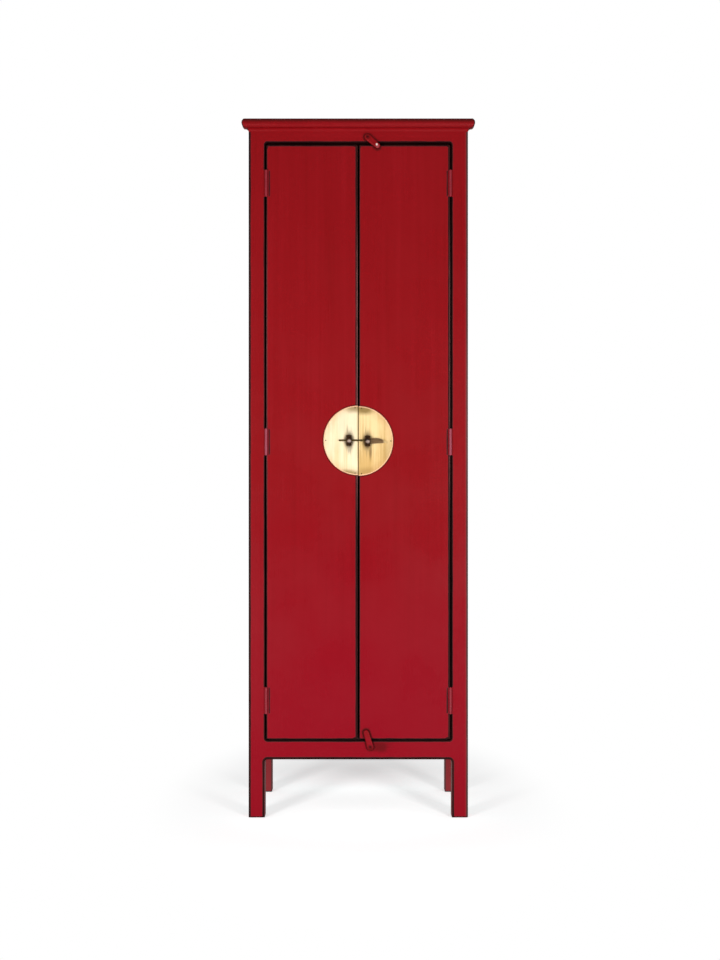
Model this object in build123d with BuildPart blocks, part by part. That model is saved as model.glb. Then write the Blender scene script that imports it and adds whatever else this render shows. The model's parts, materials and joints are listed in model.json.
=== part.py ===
from build123d import *
from math import atan2, cos, degrees, radians, sin
import os

# A tall, narrow, lacquered Chinese wedding cabinet. Millimetres. The origin is on the floor under
# the middle of the cabinet with its cap, +Z is up, and the doors face -Y.

# ---------------------------------------------------------------------------- driving dimensions
cabinet_height = 1800.0
body_width = 566.0           # over the legs
body_depth = 366.0           # over the legs
fit_gap = 0.2                # joinery clearance, each side

# Legs and rails
leg_size = 42.0              # square section
leg_outer_round = 4.0        # long corner that faces out
arris_round = 2.0            # front edges of the doors, shelves and battens
foot_chamfer = 1.5
foot_height = 150.0          # floor to the bottom rails
bottom_rail_height = 48.0
top_rail_height = 27.0
middle_rail_height = 45.0
rail_thickness = 34.0
corner_round = 7.0           # concave corner where a rail flows into a leg
tenon_thickness = 12.0
tenon_shoulder = 4.0         # from a tenon to the rail's plain edge
mortise_wall = 1.0           # wood left between two mortises in one leg, or a mortise and a groove

# Panels that float in grooves
panel_thickness = 12.0
panel_recess = 6.0           # panel face behind the legs' outer face
groove_depth = 8.0
groove_end_gap = 1.0         # room for the panel to swell

# Cap
cap_height = 32.0
cap_overhang = 17.0          # of the moulding, in front and at the front corners
cap_return = 12.0            # the moulding runs this far back along each side
cap_quirk = 2.0              # step between the cove and the bead
bead_undercut = 6.0          # bead's lower edge behind its nose
bead_crown = 6.0             # bead's upper edge behind its nose
cap_panel_thickness = 14.0
cap_tongue_thickness = 6.0
cap_seam = 1.0               # seam around the panel's field
leg_tenon_size = 14.0
leg_tenon_height = 16.0
cap_batten_width = 30.0
cap_batten_height = 15.0
cap_batten_spacing = 170.0

# Inside
board_thickness = 14.0       # bottom board
shelf_thickness = 16.0
shelf_names = ("shelf_lower", "shelf_middle", "shelf_upper")
cleat_size = 18.0
board_gap = 0.5              # boards and shelves to the legs and panels round them

# Doors
door_thickness = 20.0
door_gap = 4.0               # sides, bottom and middle
door_top_gap = 6.0
door_corner_round = 4.0
door_back_chamfer = 1.0
door_stop_gap = 0.5          # closed door to what it stops on
stop_lip_drop = 13.0         # lip of the top rail, below the opening's edge
batten_width = 26.0          # at the door's face
batten_height = 13.0         # behind the door
batten_count = 4
batten_end_inset = 12.0      # from the meeting edge of the door
dovetail_depth = 6.0
dovetail_flare = 2.5         # each side

# Hinges
hinge_length = 67.0
hinge_inset = 100.0          # hinge centre from the door's top or bottom
barrel_radius = 3.5
barrel_stand_off = 4.0       # barrel axis in front of the door
hinge_pin_radius = 1.5
hinge_pin_gap = 0.05
hinge_pin_head = 1.2         # height, and how far the head overlaps the knuckle in width
head_taper = 20.0            # degrees, sides of the nail and pin heads
knuckle_count = 5
knuckle_gap = 0.4
leaf_thickness = 1.4
leaf_relief = 0.6            # a leaf's edge to the other leaf's knuckles
leaf_back_inset = 2.5        # leaf's rear edge to the back of the door
leaf_screw_pitch = 24.0
screw_radius = 1.5
screw_head_radius = 2.8
screw_length = 15.0
screw_gap = 0.05

# Face plate, eyelets and lock pin
plate_radius = 90.0
plate_thickness = 1.5
plate_bevel = 0.9
plate_seam = 1.2             # between the two halves
plate_nail_inset = 6.0       # nails from the plate's edges
nail_radius = 0.8
nail_head_radius = 1.5
nail_head_height = 0.7
nail_length = 11.0
nail_gap = 0.05              # nails and pivots in their holes
right_plate_drop = 1.5       # the right half sits a little lower
lock_rise = 4.0              # lock above the middle of the doors
eyelet_spacing = 48.0
eyelet_width = 14.0
eyelet_height = 28.0
eyelet_reach = 14.0
eyelet_round = 2.4
eyelet_bore_stand_off = 6.0
stem_width = 6.0
stem_height = 5.0
clinch_length = 13.0         # each arm of the stem, folded flat behind the door
clinch_thickness = 1.8
lock_pin_radius = 2.2
lock_pin_gap = 1.0
lock_pin_nose = 1.3          # rounding of its free end
lock_pin_overrun = 19.0      # beyond the left eyelet
lock_leaf_length = 43.0
lock_leaf_drop = 8.8         # below the pin's axis at the eyelet
lock_leaf_tip_drop = 6.6
lock_leaf_rise = 5.9
lock_leaf_shoulder = 13.0    # straight start of its upper edge
lock_leaf_curve = 45.0       # radius of the rest
lock_leaf_thickness = 2.4
lock_rod_inset = 8.0         # rod's end inside the leaf
lock_leaf_stop_gap = 0.5

# Turn buttons
top_button_length = 49.0
bottom_button_length = 54.0
button_head_radius = 8.5
button_tip_radius = 7.0
button_thickness = 10.0
button_round = 3.0           # front edge
button_back_round = 1.0
button_gap = 0.4             # to the rail
top_button_x = 24.0
top_button_rise = 12.0       # pivot above the top rail's lower edge
top_button_angle = -41.0     # direction of the tip, anticlockwise from +X as the viewer sees it
bottom_button_x = 31.0
bottom_button_drop = 15.0    # pivot below the bottom rail's upper edge
bottom_button_angle = 106.0
pivot_radius = 2.0
pivot_gap = 0.08
pivot_head_radius = 3.2
pivot_head_height = 1.4
pivot_head_depth = 2.2       # counterbore for the head
pivot_length = 22.0          # in the rail

# ---------------------------------------------------------------------------- derived places
half_width = body_width / 2
half_depth = body_depth / 2
middle_y = cap_overhang / 2  # the cap stands out in front alone, so the body lies behind the origin
front_y = middle_y - half_depth
back_y = middle_y + half_depth
inner_x = half_width - leg_size
inner_y = half_depth - leg_size
body_top = cabinet_height - cap_height
opening_low = foot_height + bottom_rail_height
opening_high = body_top - top_rail_height
panel_inner = panel_recess + panel_thickness
groove_reach = groove_depth - groove_end_gap
tenon_depth = (leg_size - tenon_thickness) / 2
tenon_length = tenon_depth - mortise_wall
leg_centre_x = half_width - leg_size / 2
leg_centre_y = half_depth - leg_size / 2

door_front = front_y
door_back = door_front + door_thickness
door_low = opening_low + door_gap
door_high = opening_high - door_top_gap
door_height = door_high - door_low
door_outer = inner_x - door_gap
door_inner = door_gap / 2
door_width = door_outer - door_inner
door_middle = (door_low + door_high) / 2
batten_length = door_width - batten_end_inset
stop_line = door_back + door_stop_gap

hinge_x = inner_x - barrel_radius
hinge_y = door_front - barrel_stand_off
hinge_heights = {
    "lower": door_low + hinge_inset,
    "middle": door_middle,
    "upper": door_high - hinge_inset,
}
leaf_front = hinge_y + barrel_radius + leaf_relief
leaf_back = door_back - leaf_back_inset
leaf_screw_y = (leaf_front + leaf_back) / 2
knuckle_pitch = hinge_length / knuckle_count

plate_front = door_front - plate_thickness
lock_axis_y = plate_front - eyelet_bore_stand_off
eyelet_x = eyelet_spacing / 2
lock_height = door_middle + lock_rise

# Pivots of the turn buttons, as x and height, and the way each button points
pivots = {
    "top": (top_button_x, opening_high + top_button_rise),
    "bottom": (bottom_button_x, opening_low - bottom_button_drop),
}
button_angles = {"top": top_button_angle, "bottom": bottom_button_angle}
button_lengths = {"top": top_button_length, "bottom": bottom_button_length}

sides = {"left": -1, "right": 1}

# One plane on each outer face of the legs: local x runs along the face, local y is up.
faces = {
    "front": Plane(origin=(0, front_y, 0), x_dir=(1, 0, 0), z_dir=(0, -1, 0)),
    "back": Plane(origin=(0, back_y, 0), x_dir=(-1, 0, 0), z_dir=(0, 1, 0)),
    "left": Plane(origin=(-half_width, middle_y, 0), x_dir=(0, -1, 0), z_dir=(-1, 0, 0)),
    "right": Plane(origin=(half_width, middle_y, 0), x_dir=(0, 1, 0), z_dir=(1, 0, 0)),
}
lengths = {"front": body_width, "back": body_width, "left": body_depth, "right": body_depth}
spans = {"front": 2 * inner_x, "back": 2 * inner_x, "left": 2 * inner_y, "right": 2 * inner_y}


def keep(piece, label):
    """Label a finished piece and write it to a file of its own."""
    piece.part.label = label
    export_step(piece.part, f"parts/{label}.step")


def slab(face, depth, thickness, width, low, high, mode=Mode.ADD, centre=0.0):
    """A flat block on a face of the cabinet: depth behind that face, and thickness deep."""
    with BuildSketch(face.offset(-depth)) as outline:
        with Locations((centre, (low + high) / 2)):
            Rectangle(width, high - low)
    extrude(outline.sketch, amount=-thickness, mode=mode)


def across(x, height):
    """A plane across the cabinet's width, at x and height: local x runs back and local y runs up."""
    return Plane(origin=(x, 0, height), x_dir=(0, 1, 0), z_dir=(1, 0, 0))


def board(half_span, front, back):
    """A rectangle about the middle of the cabinet's width, between two depths."""
    with Locations((0, (front + back) / 2)):
        Rectangle(2 * half_span, back - front)


def dovetail(gap):
    """Section of a batten's dovetailed root in the back of a door, or with a gap, of its groove."""
    half_mouth = batten_width / 2 + gap
    half_root = half_mouth + dovetail_flare
    root = door_back - dovetail_depth - gap
    Polygon(
        (door_back, -half_mouth), (door_back, half_mouth), (root, half_root), (root, -half_root),
        align=None,
    )


def shelf_levels():
    """Heights of the shelves' undersides, evenly spaced between the bottom board and the top rail."""
    first = opening_low + board_thickness
    pitch = (opening_high - first) / (len(shelf_names) + 1)
    return [first + pitch * (i + 1) - shelf_thickness for i in range(len(shelf_names))]


def nail_places(sign, height):
    """The four nails of a face plate half: its outer end, and the top, middle and foot of its seam."""
    seam = sign * (door_inner + plate_nail_inset)
    rise = plate_radius - plate_nail_inset
    return [(sign * rise, height), (seam, height), (seam, height + rise), (seam, height - rise)]


def countersunk(place, into, head_radius, shank_radius, mode=Mode.ADD):
    """A countersunk screw, or its hole: head at place, on a leaf, shank along into (+1 or -1 in X)."""
    start = Plane(origin=place, z_dir=(into, 0, 0))
    with BuildSketch(start) as head:
        Circle(head_radius)
    slope = degrees(atan2(head_radius - shank_radius, leaf_thickness))
    extrude(head.sketch, amount=leaf_thickness, taper=slope, mode=mode)
    with BuildSketch(start) as shank:
        Circle(shank_radius)
    extrude(shank.sketch, amount=screw_length, mode=mode)


def screw_places(leaf_x, height):
    """Where the screws of one hinge leaf start, on the leaf's open face at leaf_x."""
    return [(leaf_x, leaf_screw_y, height + step * leaf_screw_pitch) for step in (-1, 0, 1)]


def batten_levels():
    """Heights of the door battens' centre lines."""
    return [door_low + door_height * (i + 0.5) / batten_count for i in range(batten_count)]


# The back's middle rail carries the rear edge of the middle shelf.
middle_high = shelf_levels()[len(shelf_names) // 2]
middle_low = middle_high - middle_rail_height

# Rails of each face: name to (low, high, groove in the lower edge, groove in the upper edge)
frame_rails = {
    "front": {
        "bottom": (foot_height, opening_low, False, False),
        "top": (opening_high, body_top, False, False),
    },
    "back": {
        "bottom": (foot_height, opening_low, False, True),
        "middle": (middle_low, middle_high, True, True),
        "top": (opening_high, body_top, True, False),
    },
    "left": {
        "bottom": (foot_height, opening_low, False, True),
        "top": (opening_high, body_top, True, False),
    },
    "right": {
        "bottom": (foot_height, opening_low, False, True),
        "top": (opening_high, body_top, True, False),
    },
}


def tenon_span(low, high, groove_below, groove_above):
    """Lower and upper edge of a rail's tenon, clear of the panel grooves."""
    below = groove_depth + mortise_wall if groove_below else tenon_shoulder
    above = groove_depth + mortise_wall if groove_above else tenon_shoulder
    return low + below, high - above


os.makedirs("parts", exist_ok=True)

# ---------------------------------------------------------------------------- legs
for end, end_sign in {"front": -1, "back": 1}.items():
    for side, sign in sides.items():
        centre_x = sign * leg_centre_x
        centre_y = middle_y + end_sign * leg_centre_y
        with BuildPart() as leg:
            with BuildSketch() as section:
                with Locations((centre_x, centre_y)):
                    Rectangle(leg_size, leg_size)
                outer_end = section.vertices().group_by(Axis.Y)[-1 if end == "back" else 0]
                outer_corner = outer_end.sort_by(Axis.X)[-1 if side == "right" else 0]
                fillet(outer_corner, leg_outer_round)
            extrude(amount=body_top)
            chamfer(leg.edges().group_by(Axis.Z)[0], foot_chamfer)
            with BuildSketch(Plane.XY.offset(body_top)):
                with Locations((centre_x, centre_y)):
                    Rectangle(leg_tenon_size, leg_tenon_size)
            extrude(amount=leg_tenon_height)
            # mortises for the rails along the cabinet's width
            for low, high, below, above in frame_rails[end].values():
                tenon_low, tenon_high = tenon_span(low, high, below, above)
                slab(
                    faces[end], tenon_depth - fit_gap, tenon_thickness + 2 * fit_gap,
                    tenon_length + 2 * fit_gap, tenon_low - fit_gap, tenon_high + fit_gap,
                    mode=Mode.SUBTRACT,
                    centre=sign * -end_sign * (inner_x + tenon_length / 2),
                )
            # mortises for the side rails
            for low, high, below, above in frame_rails[side].values():
                tenon_low, tenon_high = tenon_span(low, high, below, above)
                slab(
                    faces[side], tenon_depth - fit_gap, tenon_thickness + 2 * fit_gap,
                    tenon_length + 2 * fit_gap, tenon_low - fit_gap, tenon_high + fit_gap,
                    mode=Mode.SUBTRACT,
                    centre=sign * end_sign * (inner_y + tenon_length / 2),
                )
            # groove for the side panel, and in a back leg for the back panels
            slab(
                faces[side], panel_recess - fit_gap, panel_thickness + 2 * fit_gap, 2 * groove_depth,
                opening_low - groove_depth, opening_high + groove_depth,
                mode=Mode.SUBTRACT, centre=sign * end_sign * inner_y,
            )
            if end == "back":
                slab(
                    faces[end], panel_recess - fit_gap, panel_thickness + 2 * fit_gap, 2 * groove_depth,
                    opening_low - groove_depth, opening_high + groove_depth,
                    mode=Mode.SUBTRACT, centre=-sign * inner_x,
                )
            else:
                for height in hinge_heights.values():
                    for place in screw_places(sign * inner_x, height):
                        with BuildSketch(Plane(origin=place, z_dir=(sign, 0, 0))):
                            Circle(screw_radius + screw_gap)
                        extrude(amount=screw_length, mode=Mode.SUBTRACT)
        keep(leg, f"{end}_{side}_leg")

# ---------------------------------------------------------------------------- rails
for end, rails in frame_rails.items():
    face = faces[end]
    span = spans[end]
    for level, (low, high, below, above) in rails.items():
        with BuildPart() as rail:
            slab(face, 0, rail_thickness, span, low, high)
            if end == "front" and level == "top":
                # lip behind the doors' top edge
                slab(
                    face, door_thickness + door_stop_gap,
                    rail_thickness - door_thickness - door_stop_gap,
                    span, low - stop_lip_drop, low,
                )
            # concave corners where the rail flows into the legs
            flares = []
            if level == "bottom":
                flares.append((low, -1, rail_thickness))
            if end == "front":
                flares.append((high, 1, door_thickness) if level == "bottom" else (low, -1, door_thickness))
            for edge, way, depth in flares:
                with BuildSketch(face):
                    for hand in (-1, 1):
                        corner = (hand * (span - corner_round) / 2, edge + way * corner_round / 2)
                        with Locations(corner):
                            Rectangle(corner_round, corner_round)
                        hollow = (hand * (span / 2 - corner_round), edge + way * corner_round)
                        with Locations(hollow):
                            Circle(corner_round, mode=Mode.SUBTRACT)
                extrude(amount=-depth)
            tenon_low, tenon_high = tenon_span(low, high, below, above)
            slab(
                face, tenon_depth, tenon_thickness, span + 2 * tenon_length, tenon_low, tenon_high
            )
            if below:
                slab(
                    face, panel_recess - fit_gap, panel_thickness + 2 * fit_gap, span,
                    low, low + groove_depth, mode=Mode.SUBTRACT,
                )
            if above:
                slab(
                    face, panel_recess - fit_gap, panel_thickness + 2 * fit_gap, span,
                    high - groove_depth, high, mode=Mode.SUBTRACT,
                )
            if end == "front":
                with BuildSketch(face):
                    with Locations(pivots[level]):
                        Circle(pivot_radius + nail_gap)
                extrude(amount=-pivot_length, mode=Mode.SUBTRACT)
        keep(rail, f"{end}_{level}_rail")

# ---------------------------------------------------------------------------- panels
panels = {
    "left_side_panel": ("left", opening_low, opening_high),
    "right_side_panel": ("right", opening_low, opening_high),
    "back_lower_panel": ("back", opening_low, middle_low),
    "back_upper_panel": ("back", middle_high, opening_high),
}
for label, (end, low, high) in panels.items():
    with BuildPart() as panel:
        slab(
            faces[end], panel_recess, panel_thickness, spans[end] + 2 * groove_reach,
            low - groove_reach, high + groove_reach,
        )
    keep(panel, label)

# ---------------------------------------------------------------------------- boards inside
board_x = half_width - panel_inner - board_gap
board_back = back_y - panel_inner - board_gap
notch_x = inner_x - board_gap
notch_front = middle_y - inner_y + board_gap
notch_back = middle_y + inner_y - board_gap
with BuildPart() as bottom_board:
    with BuildSketch(Plane.XY.offset(opening_low)):
        board(notch_x, stop_line, board_back)
        board(board_x, notch_front, notch_back)
    extrude(amount=board_thickness)
keep(bottom_board, "bottom_board")

for label, level in zip(shelf_names, shelf_levels()):
    with BuildPart() as shelf:
        with BuildSketch(Plane.XY.offset(level)):
            board(notch_x, notch_front, board_back)
            board(board_x, notch_front, notch_back)
        extrude(amount=shelf_thickness)
        front_edges = shelf.edges().filter_by(Axis.X).group_by(Axis.Y)[0]
        fillet(front_edges, arris_round)
    keep(shelf, label)

for side, sign in sides.items():
    with BuildPart() as cleats:
        for level in shelf_levels():
            slab(faces[side], panel_inner, cleat_size, 2 * inner_y, level - cleat_size, level)
    keep(cleats, f"{side}_shelf_cleats")

# ---------------------------------------------------------------------------- cap
cap_panel_low = cabinet_height - cap_panel_thickness
cove_radius = cap_overhang - cap_quirk - bead_undercut
bead_root = cap_overhang - bead_undercut
bead_top = cap_overhang - bead_crown
for end, face in faces.items():
    along = face.x_dir
    outward = face.z_dir
    cap_origin = face.origin + Vector(0, 0, body_top)
    with BuildPart() as cap_member:
        if end != "back":
            # bead over cove, the cove flowing into the body's face
            with BuildSketch(Plane(origin=cap_origin, x_dir=outward, z_dir=-along)):
                with BuildLine():
                    Polyline((0, 0), (0, cap_height), (bead_top, cap_height))
                    ThreePointArc((bead_top, cap_height), (cap_overhang, (cap_height + cove_radius) / 2),
                                  (bead_root, cove_radius))
                    Line((bead_root, cove_radius), (cove_radius, cove_radius))
                    RadiusArc((cove_radius, cove_radius), (0, 0), -cove_radius)
                make_face()
            extrude(amount=lengths[end] / 2 + cap_overhang, both=True)
        if end in sides:
            split(bisect_by=Plane(origin=(0, front_y + cap_return, 0), z_dir=(0, -1, 0)), keep=Keep.TOP)
        slab(face, 0, leg_size, lengths[end], body_top, cabinet_height)
        slab(
            face, leg_size - groove_depth, groove_depth, lengths[end],
            cap_panel_low - fit_gap, cap_panel_low + cap_tongue_thickness + fit_gap, mode=Mode.SUBTRACT,
        )
        # mitres at both ends
        for hand in (-1, 1):
            corner = cap_origin + along * (hand * lengths[end] / 2)
            split(bisect_by=Plane(origin=corner, z_dir=outward - along * hand), keep=Keep.TOP)
        # sockets for the leg tenons
        with Locations((0, middle_y, body_top + leg_tenon_height / 2)):
            with GridLocations(2 * leg_centre_x, 2 * leg_centre_y, 2, 2):
                Box(
                    leg_tenon_size + 2 * fit_gap, leg_tenon_size + 2 * fit_gap,
                    leg_tenon_height + 2 * fit_gap, mode=Mode.SUBTRACT,
                )
    keep(cap_member, f"cap_{end}")

with BuildPart() as cap_panel:
    with BuildSketch(Plane.XY.offset(cap_panel_low)):
        board(inner_x + groove_reach, middle_y - inner_y - groove_reach, middle_y + inner_y + groove_reach)
    extrude(amount=cap_tongue_thickness)
    with BuildSketch(Plane.XY.offset(cap_panel_low)):
        board(inner_x - cap_seam, middle_y - inner_y + cap_seam, middle_y + inner_y - cap_seam)
    extrude(amount=cap_panel_thickness)
keep(cap_panel, "cap_panel")

with BuildPart() as cap_battens:
    with BuildSketch(Plane.XY.offset(cap_panel_low)):
        with Locations((0, middle_y)):
            with GridLocations(cap_batten_spacing, 0, 2, 1):
                Rectangle(cap_batten_width, 2 * inner_y)
    extrude(amount=-cap_batten_height)
keep(cap_battens, "cap_battens")

# ---------------------------------------------------------------------------- doors
for side, sign in sides.items():
    door_centre = sign * (door_inner + door_outer) / 2
    plate_height = lock_height - (right_plate_drop if side == "right" else 0)

    with BuildPart() as door:
        with BuildSketch(faces["front"]) as door_outline:
            with Locations((door_centre, door_middle)):
                Rectangle(door_width, door_height)
            fillet(door_outline.vertices(), door_corner_round)
        extrude(amount=-door_thickness)
        fillet(door.faces().sort_by(Axis.Y)[0].edges(), arris_round)
        chamfer(door.faces().sort_by(Axis.Y)[-1].edges(), door_back_chamfer)
        # dovetail grooves, open at the hinge edge
        for level in batten_levels():
            with BuildSketch(across(sign * door_outer, level)):
                dovetail(fit_gap)
            extrude(amount=-sign * (batten_length + fit_gap), mode=Mode.SUBTRACT)
        # slot for the eyelet's stem
        with BuildSketch(faces["front"]):
            with Locations((sign * eyelet_x, plate_height)):
                Rectangle(stem_width + 2 * fit_gap, stem_height + 2 * fit_gap)
        extrude(amount=-door_thickness, mode=Mode.SUBTRACT)
        # nail holes for the face plate
        with BuildSketch(faces["front"]):
            with Locations(*nail_places(sign, plate_height)):
                Circle(nail_radius + nail_gap)
        extrude(amount=-(nail_length - plate_thickness), mode=Mode.SUBTRACT)
        # hinge screw holes in the outer edge
        for height in hinge_heights.values():
            for place in screw_places(sign * door_outer, height):
                with BuildSketch(Plane(origin=place, z_dir=(-sign, 0, 0))):
                    Circle(screw_radius + screw_gap)
                extrude(amount=screw_length, mode=Mode.SUBTRACT)
    keep(door, f"{side}_door_panel")

    with BuildPart() as battens:
        for level in batten_levels():
            with BuildSketch(across(sign * door_outer, level)):
                dovetail(0)
                with Locations((door_back + batten_height / 2, 0)):
                    Rectangle(batten_height, batten_width)
            extrude(amount=-sign * batten_length)
        crowns = battens.edges().filter_by(Axis.X).group_by(Axis.Y)[-1]
        fillet(crowns, arris_round)
    keep(battens, f"{side}_door_battens")

    # half of the round face plate
    with BuildPart() as plate:
        with BuildSketch(faces["front"]):
            with Locations((0, plate_height)):
                Circle(plate_radius)
            with Locations((sign * (plate_radius + plate_seam / 2), plate_height)):
                Rectangle(2 * plate_radius, 2 * plate_radius, mode=Mode.INTERSECT)
        extrude(amount=plate_thickness)
        rim = plate.faces().sort_by(Axis.Y)[0].edges().filter_by(GeomType.CIRCLE)
        chamfer(rim, plate_bevel)
        with BuildSketch(faces["front"]):
            with Locations((sign * eyelet_x, plate_height)):
                Rectangle(stem_width + 2 * fit_gap, stem_height + 2 * fit_gap)
            with Locations(*nail_places(sign, plate_height)):
                Circle(nail_radius + nail_gap)
        extrude(amount=plate_thickness, mode=Mode.SUBTRACT)
    keep(plate, f"{side}_plate")

    with BuildPart() as nails:
        for place in nail_places(sign, plate_height):
            with BuildSketch(faces["front"].offset(plate_thickness)):
                with Locations(place):
                    Circle(nail_radius)
            extrude(amount=-nail_length)
            with BuildSketch(faces["front"].offset(plate_thickness)):
                with Locations(place):
                    Circle(nail_head_radius)
            extrude(amount=nail_head_height, taper=head_taper)
    keep(nails, f"{side}_plate_nails")

    # half-round lug with a cross bore, on a stem that is folded flat behind the door
    with BuildPart() as eyelet:
        with BuildSketch(across(sign * eyelet_x, plate_height)):
            with BuildLine():
                ThreePointArc((plate_front, -eyelet_height / 2), (plate_front - eyelet_reach, 0),
                              (plate_front, eyelet_height / 2))
                Line((plate_front, eyelet_height / 2), (plate_front, -eyelet_height / 2))
            make_face()
        extrude(amount=eyelet_width / 2, both=True)
        rims = eyelet.edges().filter_by(GeomType.CIRCLE)
        fillet(rims, eyelet_round)
        with BuildSketch(across(sign * eyelet_x, lock_height)):
            with Locations((lock_axis_y, 0)):
                Circle(lock_pin_radius + lock_pin_gap)
        extrude(amount=eyelet_width / 2, both=True, mode=Mode.SUBTRACT)
        with BuildSketch(across(sign * eyelet_x, plate_height)):
            stem_end = door_back + clinch_thickness
            with Locations(((plate_front + stem_end) / 2, 0)):
                Rectangle(stem_end - plate_front, stem_height)
            with Locations((door_back + clinch_thickness / 2, 0)):
                Rectangle(clinch_thickness, stem_height + 2 * clinch_length)
        extrude(amount=stem_width / 2, both=True)
    keep(eyelet, f"{side}_eyelet")

    # hinges: leaves joined by interleaved knuckles, the frame's leaf holding the outer ones
    for name, height in hinge_heights.items():
        lowest = height - hinge_length / 2
        leaves = {
            "frame": (sign * inner_x, -sign, 0),
            "door": (sign * door_outer, sign, 1),
        }
        for owner, (seat_x, open_side, first) in leaves.items():
            centre_x = seat_x + open_side * leaf_thickness / 2
            with BuildPart() as leaf:
                with BuildSketch(Plane.XY.offset(lowest)):
                    with Locations((centre_x, (leaf_front + leaf_back) / 2)):
                        Rectangle(leaf_thickness, leaf_back - leaf_front)
                extrude(amount=hinge_length)
                for place in screw_places(seat_x + open_side * leaf_thickness, height):
                    countersunk(
                        place, -open_side, screw_head_radius, screw_radius + screw_gap, Mode.SUBTRACT
                    )
                for knuckle in range(first, knuckle_count, 2):
                    knuckle_low = lowest + knuckle * knuckle_pitch
                    knuckle_high = knuckle_low + knuckle_pitch
                    if knuckle > 0:
                        knuckle_low += knuckle_gap / 2
                    if knuckle < knuckle_count - 1:
                        knuckle_high -= knuckle_gap / 2
                    with BuildSketch(Plane.XY.offset(knuckle_low)):
                        with Locations((sign * hinge_x, hinge_y)):
                            Circle(barrel_radius)
                        with Locations((centre_x, (hinge_y + leaf_front) / 2)):
                            Rectangle(leaf_thickness, leaf_front - hinge_y)
                    extrude(amount=knuckle_high - knuckle_low)
                    with BuildSketch(Plane.XY.offset(knuckle_low)):
                        with Locations((sign * hinge_x, hinge_y)):
                            Circle(hinge_pin_radius + hinge_pin_gap)
                    extrude(amount=knuckle_high - knuckle_low, mode=Mode.SUBTRACT)
            keep(leaf, f"{side}_{name}_hinge_{owner}_leaf")

    with BuildPart() as hinge_pins:
        for height in hinge_heights.values():
            with BuildSketch(Plane.XY.offset(height - hinge_length / 2 - hinge_pin_head)):
                with Locations((sign * hinge_x, hinge_y)):
                    Circle(hinge_pin_radius)
            extrude(amount=hinge_length + 2 * hinge_pin_head)
            for end_height, way in ((height - hinge_length / 2, -1), (height + hinge_length / 2, 1)):
                with BuildSketch(Plane(origin=(0, 0, end_height), x_dir=(1, 0, 0), z_dir=(0, 0, way))):
                    with Locations((sign * hinge_x, way * hinge_y)):
                        Circle(hinge_pin_radius + hinge_pin_head / 2)
                extrude(amount=hinge_pin_head, taper=head_taper)
    keep(hinge_pins, f"{side}_hinge_pins")

    with BuildPart() as door_screws:
        for height in hinge_heights.values():
            for place in screw_places(sign * (door_outer + leaf_thickness), height):
                countersunk(place, -sign, screw_head_radius - screw_gap, screw_radius)
    keep(door_screws, f"{side}_door_hinge_screws")

with BuildPart() as frame_screws:
    for sign in sides.values():
        for height in hinge_heights.values():
            for place in screw_places(sign * (inner_x - leaf_thickness), height):
                countersunk(place, sign, screw_head_radius - screw_gap, screw_radius)
keep(frame_screws, "frame_hinge_screws")

# ---------------------------------------------------------------------------- lock pin
rod_start = -eyelet_x - eyelet_width / 2 - lock_pin_overrun
leaf_start = eyelet_x + eyelet_width / 2 + lock_leaf_stop_gap
leaf_shoulder = leaf_start + lock_leaf_shoulder
leaf_tip = leaf_start + lock_leaf_length
with BuildPart() as lock_pin:
    with BuildSketch(Plane(origin=(rod_start, lock_axis_y, lock_height), z_dir=(1, 0, 0))):
        Circle(lock_pin_radius)
    extrude(amount=leaf_start + lock_rod_inset - rod_start)
    fillet(lock_pin.edges().group_by(Axis.X)[0], lock_pin_nose)
    with BuildSketch(Plane(origin=(0, lock_axis_y, lock_height), x_dir=(1, 0, 0), z_dir=(0, -1, 0))):
        with BuildLine():
            Polyline((leaf_tip, -lock_leaf_tip_drop), (leaf_start, -lock_leaf_drop),
                     (leaf_start, lock_leaf_rise), (leaf_shoulder, lock_leaf_rise))
            RadiusArc((leaf_shoulder, lock_leaf_rise), (leaf_tip, -lock_leaf_tip_drop), lock_leaf_curve)
        make_face()
    extrude(amount=lock_leaf_thickness / 2, both=True)
keep(lock_pin, "lock_pin")

# ---------------------------------------------------------------------------- turn buttons
for level, (pivot_x, pivot_z) in pivots.items():
    button_reach = button_lengths[level] - button_head_radius - button_tip_radius
    turned = radians(button_angles[level])
    button_plane = Plane(
        origin=(pivot_x, door_front - button_gap, pivot_z),
        x_dir=(cos(turned), 0, sin(turned)), z_dir=(0, -1, 0),
    )
    with BuildPart() as button:
        with BuildSketch(button_plane):
            Circle(button_head_radius)
            with Locations((button_reach, 0)):
                Circle(button_tip_radius)
            make_hull()
        extrude(amount=button_thickness)
        rims = button.edges().group_by(Axis.Y)
        fillet(rims[-1], button_back_round)
        fillet(rims[0], button_round)
        with BuildSketch(button_plane):
            Circle(pivot_radius + pivot_gap)
        extrude(amount=button_thickness, mode=Mode.SUBTRACT)
        with BuildSketch(button_plane.offset(button_thickness)):
            Circle(pivot_head_radius + pivot_gap)
        extrude(amount=-pivot_head_depth, mode=Mode.SUBTRACT)
    keep(button, f"{level}_turn_button")

# each head stands in its button's counterbore, with the button's running gap under it
head_seat = button_gap + button_thickness - pivot_head_depth + button_gap
with BuildPart() as button_nails:
    for pivot in pivots.values():
        with BuildSketch(faces["front"].offset(head_seat)):
            with Locations(pivot):
                Circle(pivot_radius)
        extrude(amount=-(head_seat + pivot_length))
        with BuildSketch(faces["front"].offset(head_seat)):
            with Locations(pivot):
                Circle(pivot_head_radius)
        extrude(amount=pivot_head_height)
keep(button_nails, "button_nails")
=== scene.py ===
import json
import math

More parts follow.
